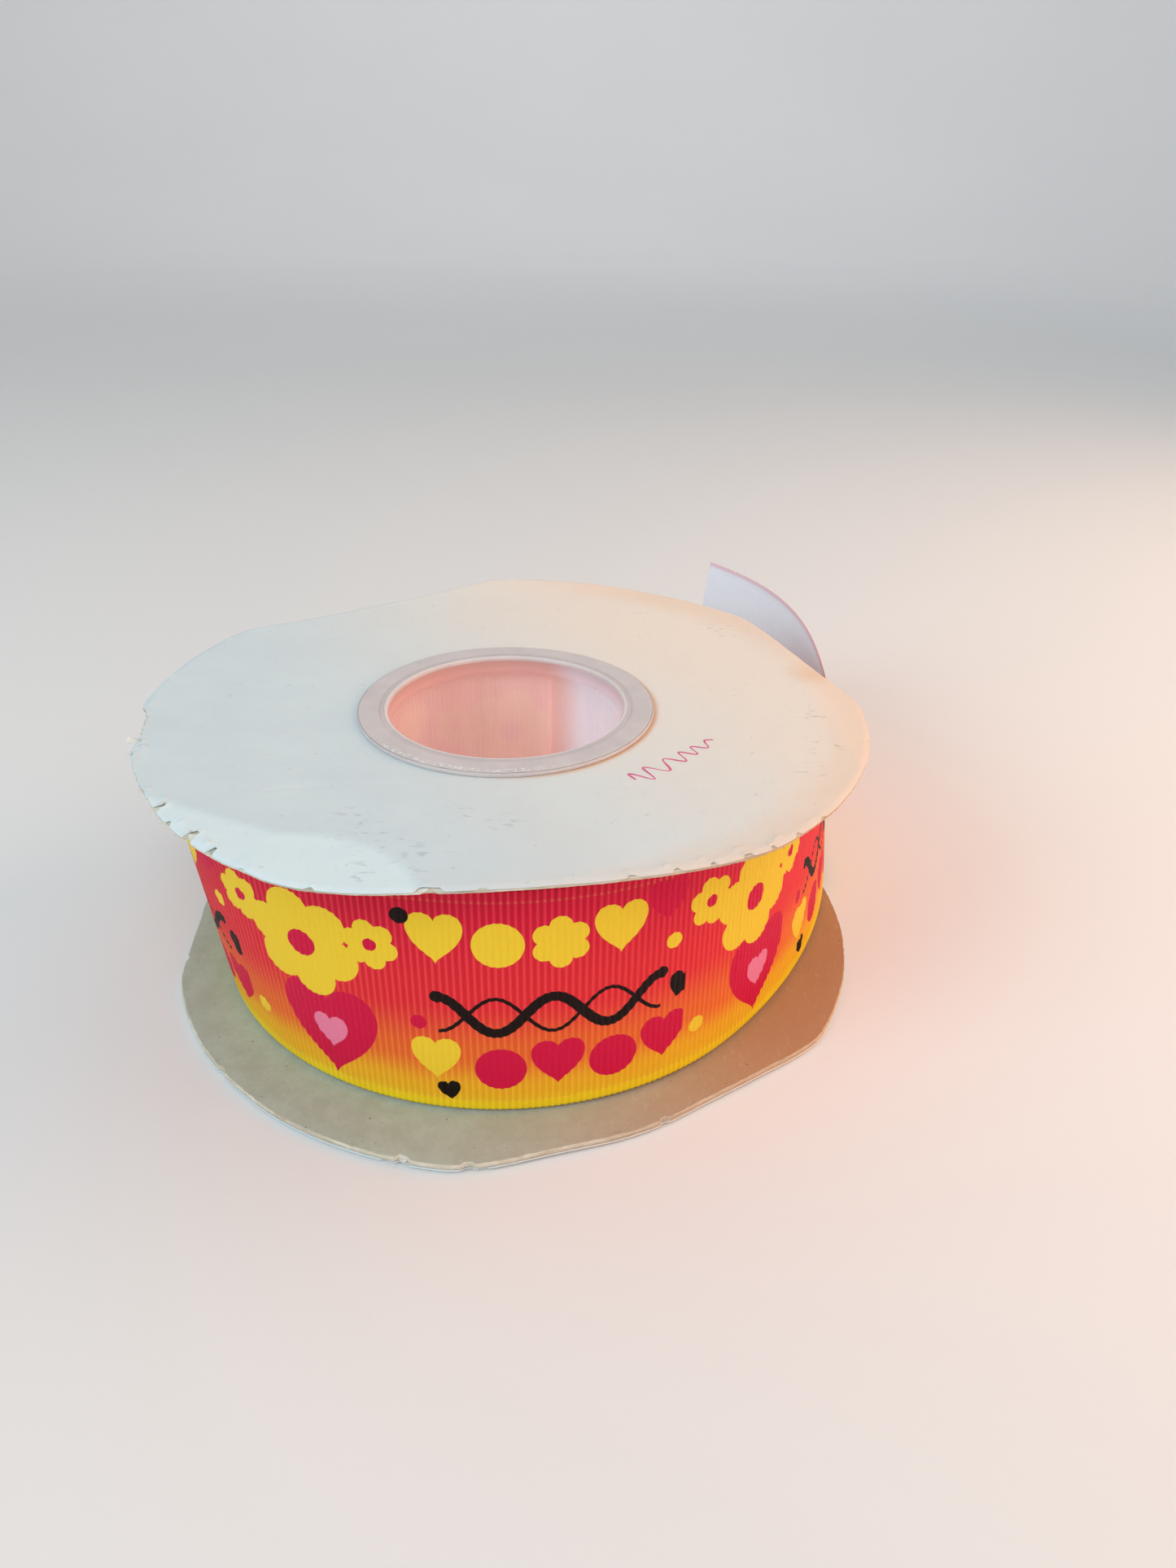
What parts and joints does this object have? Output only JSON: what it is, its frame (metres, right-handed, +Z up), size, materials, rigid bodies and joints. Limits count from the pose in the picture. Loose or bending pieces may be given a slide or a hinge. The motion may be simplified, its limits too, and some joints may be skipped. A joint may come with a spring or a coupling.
{
  "type": "ribbon spool",
  "caption": "Ribbon spool: card flanges turning on a two-part plastic hub with a spindle bore, wound with printed grosgrain ribbon whose free end flexes.",
  "frame": {"origin": "on the hub axis, at the underside of the lower rim, where the spindle bore begins", "axes": "+Z up the hub axis towards the upper rim, +X towards the side on which the ribbon's free end stands off the roll"},
  "size_m": [0.119, 0.1475, 0.0442],
  "materials": {
    "hub_plastic": "frosted translucent, satin",
    "liner_paper": "white clay-coated paper, semi-matt, scuffed",
    "chipboard": "uncoated grey-brown chipboard",
    "ribbon_grosgrain": "ribbed grosgrain, printed face, plain back",
    "tape_paper": "thin plain adhesive tape"
  },
  "bodies": {
    "core": {"hub_lower": "hub_plastic", "hub_upper": "hub_plastic", "ribbon_roll": "ribbon_grosgrain", "start_tape": "tape_paper"},
    "top_flange": {"top_board": "chipboard", "top_liner": "liner_paper"},
    "bottom_flange": {"bottom_board": "chipboard", "bottom_liner": "liner_paper"},
    "tail": {"ribbon_tail": "ribbon_grosgrain"}
  },
  "joints": [
    {"name": "top_flange_spin", "type": "hinge", "parent": "core", "child": "top_flange", "pos_m": [0, 0, 0.0423], "axis": [0, 0, 1], "continuous": true},
    {"name": "bottom_flange_spin", "type": "hinge", "parent": "core", "child": "bottom_flange", "pos_m": [0, 0, 0.00145], "axis": [0, 0, 1], "continuous": true},
    {"name": "tail_flex", "type": "hinge", "parent": "core", "child": "tail", "pos_m": [0.05985, 0.02029, 0.02145], "axis": [0, 0, 1], "range_deg": [-60, 40]}
  ]
}
